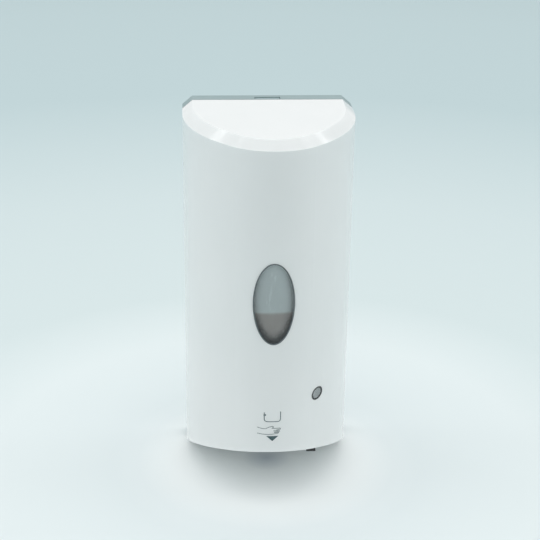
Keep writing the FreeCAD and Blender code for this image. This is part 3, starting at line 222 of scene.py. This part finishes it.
def rubber(name, colour, rough=0.55, **sockets):
    """Rubber or silicone with dusty specks and a soft uneven skin."""
    made = Nodes(name, **sockets)
    dust = made.noise(700, 5, 0.75)
    made.colour(made.ramp(dust, (0.55, colour), (0.8, shade(tuple(c + 0.05 for c in colour), 1.15))))
    made.roughness(made.span(made.noise(180, 3, 0.6), rough * 0.8, rough * 1.2))
    made.bump(made.noise(1100, 3, 0.6), 0.00003, 0.5)
    return made.material


def metal(name, colour, rough, stretch, lines=1400):
    """Drawn, turned or rolled metal: fine lines along one axis, with patches of duller plating."""
    made = Nodes(name, Metallic=1.0)
    grain = made.noise(lines, 3, 0.7, stretch)
    made.colour(made.mix(made.span(grain, 0.0, 1.0), shade(colour, 0.86), shade(colour, 1.08)))
    patches = made.span(made.noise(60, 4, 0.6), rough * 0.75, rough * 1.3)
    made.roughness(made.math("ADD", patches, made.span(grain, -0.05, 0.05)))
    made.bump(grain, 0.00001, 0.6)
    return made.material


def clear(name, colour, rough, milk=0.0, ior=1.5):
    """Clear or tinted plastic. milk is how far the body of it scatters instead of letting light through."""
    made = Nodes(name, IOR=ior)
    made.shader.inputs["Transmission Weight"].default_value = 1.0 - milk
    drift = made.noise(20, 3, 0.5)
    made.colour(made.ramp(drift, (0.3, shade(colour, 0.96)), (0.7, shade(colour, 1.04))))
    made.roughness(made.span(made.noise(120, 4, 0.65), rough, rough + 0.02))
    made.bump(made.noise(38, 2, 0.5), 0.00003, 0.4)
    return made.material


def lens_material(level):
    """Clear window, with a painted shade, dark and mottled, along its edge up to the soap's level."""
    made = Nodes("smoked_clear", IOR=1.5)
    made.shader.inputs["Transmission Weight"].default_value = 0.96
    place = made.split()
    across = made.math("DIVIDE", place["X"], WINDOW_HALF_WIDE)
    along = made.math("DIVIDE", made.math("SUBTRACT", place["Z"], WINDOW_UP), WINDOW_HALF_TALL)
    out = made.math("ADD", made.math("MULTIPLY", across, across), made.math("MULTIPLY", along, along))
    mottle = made.noise(420, 4, 0.7)
    # painted shade: the lens's colour darkens, mottled, towards its rim below the soap's level
    edge = made.rise(made.math("ADD", out, made.span(mottle, -0.12, 0.12)), 0.45, 0.95)
    under = made.rise(place["Z"], level + 2 * MM, level - 5 * MM)
    painted_edge_shade = made.math("MULTIPLY", made.math("MULTIPLY", edge, under), 0.8)
    clean = made.ramp(made.noise(20, 3, 0.5), (0.3, (0.88, 0.905, 0.91)), (0.7, (0.95, 0.975, 0.98)))
    made.colour(made.mix(painted_edge_shade, clean, (0.16, 0.19, 0.21)))
    made.roughness(made.span(made.noise(120, 4, 0.65), 0.02, 0.04))
    made.bump(made.noise(38, 2, 0.5), 0.00001, 0.4)
    return made.material


def tank_material(level):
    """Frosted bottle: cloudy above that level and darker below it, where the soap wets the wall."""
    made = Nodes("tank_clear", IOR=1.5)
    made.shader.inputs["Transmission Weight"].default_value = 0.1
    cloud = made.noise(60, 4, 0.6, (1.0, 1.0, 0.5))
    streaks = made.noise(220, 3, 0.7, (1.0, 1.0, 0.25))
    height = made.math("ADD", made.split()["Z"], made.span(cloud, -0.3 * MM, 0.3 * MM))
    dry = made.rise(height, level - 1.2 * MM, level + 1.6 * MM)
    wet_tone = made.ramp(cloud, (0.3, (0.42, 0.355, 0.325)), (0.7, (0.57, 0.485, 0.44)))
    dry_tone = made.ramp(cloud, (0.3, (0.82, 0.90, 0.90)), (0.7, (0.90, 0.97, 0.975)))
    # painted glints: pale streak specks put into the bottle's colour
    painted_glint = made.math("MULTIPLY", made.rise(streaks, 0.66, 0.80, smooth=False), 0.25)
    made.colour(made.mix(painted_glint, made.mix(dry, wet_tone, dry_tone), (0.92, 0.97, 0.98)))
    made.roughness(made.span(streaks, 0.16, 0.3))
    made.bump(cloud, 0.00012, 0.4)
    made.bump(made.noise(1400, 2, 0.5), 0.000015, 0.4)
    return made.material


def cover_material():
    """Polished white ABS: glossy skin, moulding waves too faint to see except in reflections, stray dust."""
    made = Nodes("cover_white", IOR=1.52)
    made.shader.inputs["Coat Weight"].default_value = 0.35
    made.shader.inputs["Coat Roughness"].default_value = 0.05
    made.shader.inputs["Subsurface Weight"].default_value = 0.6
    made.shader.inputs["Subsurface Scale"].default_value = 0.004
    made.shader.inputs["Subsurface Radius"].default_value = (1.0, 1.0, 1.0)
    drift = made.noise(9, 3, 0.5)
    clean = made.ramp(drift, (0.3, (0.775, 0.797, 0.795)), (0.7, (0.80, 0.816, 0.812)))
    dust = made.ramp(made.noise(1500, 2, 0.8), (0.735, (0, 0, 0)), (0.76, (0.5, 0.5, 0.5)))
    made.colour(made.mix(dust, clean, (0.70, 0.71, 0.70)))
    made.roughness(made.span(made.noise(55, 5, 0.65), 0.14, 0.21))
    made.bump(made.noise(1200, 2, 0.5), 0.000006, 0.35)
    made.bump(made.noise(22, 1, 0.4), 0.00008, 0.25)
    return made.material


def board_material():
    """Green solder resist over copper tracks, with plated holes on a grid."""
    made = Nodes("board_green", IOR=1.5)
    made.shader.inputs["Coat Weight"].default_value = 0.4
    made.shader.inputs["Coat Roughness"].default_value = 0.12
    tracks = made.add("ShaderNodeTexBrick", offset=0.5, squash=0.6)
    spin = made.add("ShaderNodeVectorRotate", rotation_type="X_AXIS")
    spin.inputs["Angle"].default_value = math.pi / 2
    made.link(made.place, spin.inputs["Vector"])
    made.link(spin.outputs["Vector"], tracks.inputs["Vector"])
    for socket, value in (("Scale", 260.0), ("Mortar Size", 0.035), ("Mortar Smooth", 0.1),
                          ("Brick Width", 1.1), ("Row Height", 0.42)):
        tracks.inputs[socket].default_value = value
    track = tracks.outputs["Fac"]
    drift = made.noise(160, 4, 0.6)
    resist = made.ramp(drift, (0.3, (0.012, 0.105, 0.05)), (0.7, (0.02, 0.14, 0.07)))
    tone = made.mix(track, resist, (0.06, 0.27, 0.12))
    holes = made.add("ShaderNodeTexVoronoi", feature="F1")
    holes.inputs["Scale"].default_value = 330
    holes.inputs["Randomness"].default_value = 0.25
    made.link(made.place, holes.inputs["Vector"])
    pad = made.math("LESS_THAN", holes.outputs["Distance"], 0.16)
    made.colour(made.mix(pad, tone, (0.62, 0.6, 0.55)))
    made.roughness(made.span(drift, 0.28, 0.42))
    made.bump(track, 0.00003, 0.6)
    return made.material


def cell_material():
    """Printed wrap of the four cells: a dark sleeve, a copper coloured end and the bare ends of the can.

    Cells lie across the box, and every other one points the other way.
    """
    made = Nodes("cell_wrap", IOR=1.5)
    made.shader.inputs["Coat Weight"].default_value = 0.5
    made.shader.inputs["Coat Roughness"].default_value = 0.08
    place = made.split()
    low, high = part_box("battery_cells")
    count = made.math("MULTIPLY", made.math("SUBTRACT", place["Z"], low.z), 4 / (high.z - low.z))
    flipped = made.math("MODULO", made.math("FLOOR", count), 2.0)
    straight = made.rise(place["X"], low.x, high.x, smooth=False)
    share = made.math("ABSOLUTE", made.math("SUBTRACT", flipped, straight))
    print_tone = made.noise(240, 4, 0.6)
    sleeve = made.ramp(print_tone, (0.3, (0.028, 0.032, 0.04)), (0.7, (0.04, 0.045, 0.055)))
    banded = made.mix(made.math("GREATER_THAN", share, 0.68), sleeve, (0.42, 0.28, 0.15))
    bare = made.math("MAXIMUM", made.math("GREATER_THAN", share, 0.955), made.math("LESS_THAN", share, 0.045))
    made.colour(made.mix(bare, banded, (0.72, 0.71, 0.68)))
    made.link(bare, made.shader.inputs["Metallic"])
    made.roughness(made.span(print_tone, 0.25, 0.36))
    made.bump(made.noise(900, 2, 0.5), 0.00001, 0.4)
    return made.material


SLOTS = {
    "cover_white": cover_material(),
    "plate_grey": plastic("plate_grey", (0.225, 0.315, 0.325), 0.40, grain=0.00003),
    "housing_white": plastic("housing_white", (0.66, 0.69, 0.69), 0.48, grain=0.00004, grain_scale=1500),
    "smoked_clear": lens_material(SOAP_LINE),
    "clear": clear("clear", (0.86, 0.90, 0.90), 0.03, milk=0.08),
    "tank_clear": tank_material(SOAP_LINE),
    "soap": clear("soap", (0.34, 0.28, 0.23), 0.05, milk=0.75, ior=1.36),
    "rim_grey": plastic("rim_grey", (0.12, 0.14, 0.15), 0.16, grain=0.000008, vary=0.1),
    "black_gloss": plastic("black_gloss", (0.02, 0.024, 0.028), 0.14, grain=0.000008, vary=0.15),
    "black_plastic": plastic("black_plastic", (0.022, 0.023, 0.026), 0.4, vary=0.15),
    "cap_blue": plastic("cap_blue", (0.09, 0.19, 0.33), 0.34, vary=0.06),
    "nozzle_grey": plastic("nozzle_grey", (0.40, 0.42, 0.43), 0.38, vary=0.05),
    "silicone": rubber("silicone", (0.70, 0.72, 0.70), 0.32, Transmission_Weight=0.35),
    "seal_black": rubber("seal_black", (0.015, 0.015, 0.016), 0.5),
    "steel": metal("steel", (0.60, 0.61, 0.63), 0.27, (1.0, 0.05, 1.0)),
    "nickel": metal("nickel", (0.72, 0.70, 0.66), 0.2, (1.0, 1.0, 0.05)),
    "brass": metal("brass", (0.72, 0.52, 0.24), 0.3, (1.0, 0.06, 1.0)),
    "gear_white": plastic("gear_white", (0.80, 0.80, 0.75), 0.36, vary=0.03),
    "pump_black": plastic("pump_black", (0.05, 0.055, 0.06), 0.46, grain=0.00005, grain_scale=1200, vary=0.14),
    "board_green": board_material(),
    "component_dark": plastic("component_dark", (0.045, 0.046, 0.054), 0.38, vary=0.2),
    "led_clear": clear("led_clear", (0.72, 0.86, 0.80), 0.06, milk=0.3),
    "ir_dark": plastic("ir_dark", (0.03, 0.014, 0.03), 0.1, vary=0.2),
    "red_filter": clear("red_filter", (0.16, 0.008, 0.012), 0.06, milk=0.5),
    "lead_red": rubber("lead_red", (0.36, 0.02, 0.02), 0.4),
    "cell_wrap": cell_material(),
}
for part in frame["record"]["subparts"]:
    materials = nodes[part["node"]].data.materials
    materials.clear()
    materials.append(SLOTS[part["material_slot"]])
nodes["indicator_lens"].data.materials[0] = clear("indicator_clear", (0.82, 0.87, 0.88), 0.05, milk=0.28)


# ---------------------------------------------------------------- printed mark on the cover
def surface_of(node_name):
    data = nodes[node_name].data
    return BVHTree.FromPolygons([v.co for v in data.vertices], [p.vertices for p in data.polygons])


cover_surface = surface_of("front_cover")
INK = 0.03 * MM
BEFORE_COVER = -0.2  # a ray's start, well in front of the cover


def on_cover(x, z, lift):
    """The point of the cover's front at x across and z up, in millimetres, lifted outwards."""
    start = Vector((x * MM, BEFORE_COVER, z * MM - DATUM))
    hit, normal, _, _ = cover_surface.ray_cast(start, Vector((0, 1, 0)))
    return hit + normal * lift if normal.y < 0 else hit - normal * lift


STROKE_STEP = 0.5


def printed_line(points, width, closed=False):
    """Vertices and faces of one inked stroke of that width along points."""
    fine = []
    ring = points + points[:1] if closed else points
    for (x0, z0), (x1, z1) in zip(ring, ring[1:]):
        steps = max(1, round(math.hypot(x1 - x0, z1 - z0) / STROKE_STEP))
        fine += [(x0 + (x1 - x0) * k / steps, z0 + (z1 - z0) * k / steps) for k in range(steps)]
    if not closed:
        fine.append(points[-1])
    count = len(fine)
    vertices, faces = [], []
    for index, (x, z) in enumerate(fine):
        before = fine[index - 1] if closed or index else fine[index]
        after = fine[(index + 1) % count] if closed or index < count - 1 else fine[index]
        dx, dz = after[0] - before[0], after[1] - before[1]
        length = math.hypot(dx, dz) or 1.0
        across, rise = -dz / length * width / 2, dx / length * width / 2
        vertices += [on_cover(x + across, z + rise, INK), on_cover(x - across, z - rise, INK)]
    for index in range(count if closed else count - 1):
        a, b = 2 * index, 2 * ((index + 1) % count)
        faces.append((a, b, b + 1, a + 1))
    return vertices, faces


def printed_triangle(tip, left, right, rows=8):
    """A filled triangle, cut into rows so that it follows the curve."""
    vertices, faces = [], []
    for row in range(rows + 1):
        share = row / rows
        for column in range(rows + 1):
            across = column / rows
            a = [tip[i] + (left[i] - tip[i]) * share for i in (0, 1)]
            b = [tip[i] + (right[i] - tip[i]) * share for i in (0, 1)]
            vertices.append(on_cover(a[0] + (b[0] - a[0]) * across, a[1] + (b[1] - a[1]) * across, INK))
    for row in range(rows):
        for column in range(rows):
            a = row * (rows + 1) + column
            faces.append((a, a + 1, a + rows + 2, a + rows + 1))
    return vertices, faces


def mark():
    """Generic operating mark: an outlet, an open hand under it and an arrow down."""
    outlet = [(-6.0, 76.5), (-6.0, 70.6), (-5.2, 69.4), (-3.6, 68.9), (4.0, 68.9), (5.2, 69.4), (5.8, 70.6),
              (5.8, 77.0)]
    hand = [(-11.0, 64.0), (-8.0, 63.2), (-5.0, 63.0), (-2.6, 64.4), (0.2, 65.2), (1.0, 64.5), (-0.4, 63.5),
            (2.0, 63.3), (5.6, 63.4), (6.0, 62.5), (3.0, 61.9)]
    fingers = [(0.8, 61.6), (5.2, 61.4), (5.4, 60.7), (1.0, 60.4)]
    palm = [(-11.0, 59.0), (-7.0, 58.5), (-3.0, 58.3), (0.6, 58.6), (4.4, 59.4), (4.8, 60.0), (1.4, 60.1)]
    spot = [(-5.6 + 0.7 * math.cos(a), 74.4 + 0.7 * math.sin(a)) for a in [math.tau * k / 10 for k in range(10)]]
    shapes = [printed_line(outlet, 0.55), printed_line(hand, 0.4), printed_line(fingers, 0.35),
              printed_line(palm, 0.4), printed_line(spot, 0.5, True),
              printed_triangle((0, 52.8), (-4.4, 57), (4.4, 57))]
    vertices, faces = [], []
    for points, quads in shapes:
        base = len(vertices)
        vertices += points
        faces += [tuple(base + i for i in quad) for quad in quads]
    mesh = bpy.data.meshes.new("printed_mark")
    mesh.from_pydata(vertices, [], faces)
    ink = Nodes("mark_ink", IOR=1.5)
    ink.colour(ink.ramp(ink.noise(900, 4, 0.7), (0.35, (0.035, 0.075, 0.085)), (0.7, (0.07, 0.12, 0.13))))
    ink.roughness(ink.span(ink.noise(400, 3, 0.6), 0.3, 0.45))
    mesh.materials.append(ink.material)
    piece = bpy.data.objects.new("printed_mark", mesh)
    scene.collection.objects.link(piece)
    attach(piece, "cover")


mark()


# ---------------------------------------------------------------- latch spring
def latch_coil():
    """The latch's spring, copied as a piece with its own mesh in place of the CAD part."""
    rest = nodes["latch_spring"]
    coil = bpy.data.objects.new("latch_coil", rest.data.copy())
    coil.matrix_world = rest.matrix_world
    scene.collection.objects.link(coil)
    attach(coil, "wall_unit")
    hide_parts("latch_spring")
    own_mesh(coil)


latch_coil()


# ---------------------------------------------------------------- stage and light
FLOOR_REACH = 1.6
TABLE_RADIUS, TABLE_SIDES = 9, 64
FLOOR_PAINTED_LIGHT_AND_SHADE = [  # metres from the object, and the table top's colour there: a painted shadow right under the object, painted light just around it, then the pale table colour, growing darker and bluer with distance as painted fall-off
    (0.0, (0.60, 0.65, 0.70)), (0.02, (0.92, 0.95, 0.95)), (0.07, (0.90, 0.94, 0.94)), (0.10, (0.77, 0.83, 0.84)),
    (0.12, (0.735, 0.80, 0.81)), (0.22, (0.735, 0.80, 0.805)), (0.32, (0.63, 0.715, 0.72)),
    (0.60, (0.60, 0.69, 0.70)), (1.05, (0.50, 0.615, 0.635)), (FLOOR_REACH, (0.52, 0.64, 0.66)),
]


def floor():
    """A round pale table top, seen only from above, with light and shade painted into its colour: a painted shadow
    under the object, whiter painted light just around it and painted fall-off further out.
    """
    made = Nodes("table_top", Roughness=0.55)
    made.shader.inputs["Specular IOR Level"].default_value = 0.2
    distance = made.add("ShaderNodeVectorMath", operation="LENGTH")
    made.link(made.place, distance.inputs[0])
    reach = made.math("DIVIDE", distance.outputs["Value"], FLOOR_REACH)
    # this ramp paints the shadow under the object, the light around it and the fall-off with distance
    made.colour(made.ramp(reach, *[(far / FLOOR_REACH, tone) for far, tone in FLOOR_PAINTED_LIGHT_AND_SHADE]))
    see_through = made.add("ShaderNodeBsdfTransparent")
    side = made.add("ShaderNodeNewGeometry")
    blend = made.add("ShaderNodeMixShader")
    made.link(side.outputs["Backfacing"], blend.inputs["Fac"])
    made.link(made.shader.outputs["BSDF"], blend.inputs[1])
    made.link(see_through.outputs["BSDF"], blend.inputs[2])
    made.link(blend.outputs["Shader"], made.tree.nodes["Material Output"].inputs["Surface"])
    angles = [math.tau * k / TABLE_SIDES for k in range(TABLE_SIDES)]
    rim = [(TABLE_RADIUS * math.cos(a), TABLE_RADIUS * math.sin(a), 0) for a in angles]
    mesh = bpy.data.meshes.new("table_top")
    mesh.from_pydata(rim, [], [tuple(range(TABLE_SIDES))])
    mesh.materials.append(made.material)
    top = bpy.data.objects.new("table_top", mesh)
    top.location = (0, -0.05, cad_box[0].z - 0.2 * MM)
    scene.collection.objects.link(top)


def softbox(name, place, aim, size, power):
    light = bpy.data.lights.new(name, "AREA")
    light.shape = "RECTANGLE"
    light.size, light.size_y = size
    light.energy = power
    holder = bpy.data.objects.new(name, light)
    holder.location = place
    holder.rotation_mode = "QUATERNION"
    holder.rotation_quaternion = (Vector(aim) - Vector(place)).to_track_quat("-Z", "Y")
    scene.collection.objects.link(holder)


floor()
MIDDLE = (0, -0.05, 0)
softbox("overhead", (0, 0, 1.5), MIDDLE, (1.6, 1.2), 3.2)
softbox("left_bank", (-1.2, -0.1, 0.9), MIDDLE, (0.8, 1.2), 3.2)
softbox("right_bank", (1.2, -0.1, 0.9), MIDDLE, (0.8, 1.2), 2.7)
softbox("rear_bank", (0, 1.6, 1.2), MIDDLE, (2.0, 0.9), 2.4)
softbox("left_strip", (-1.02, 0.65, 1.11), (-0.037, -0.088, 0.087), (0.12, 0.6), 0.5)
softbox("right_strip", (1.09, 0.57, 1.08), (0.024, -0.096, 0.087), (0.07, 0.6), 0.4)

scene.world = bpy.data.worlds.new("studio")
scene.world.use_nodes = True
background = scene.world.node_tree.nodes["Background"]
background.inputs["Color"].default_value = (0.842, 0.864, 0.868, 1)
background.inputs["Strength"].default_value = 1.0
scene.view_settings.view_transform = "Standard"
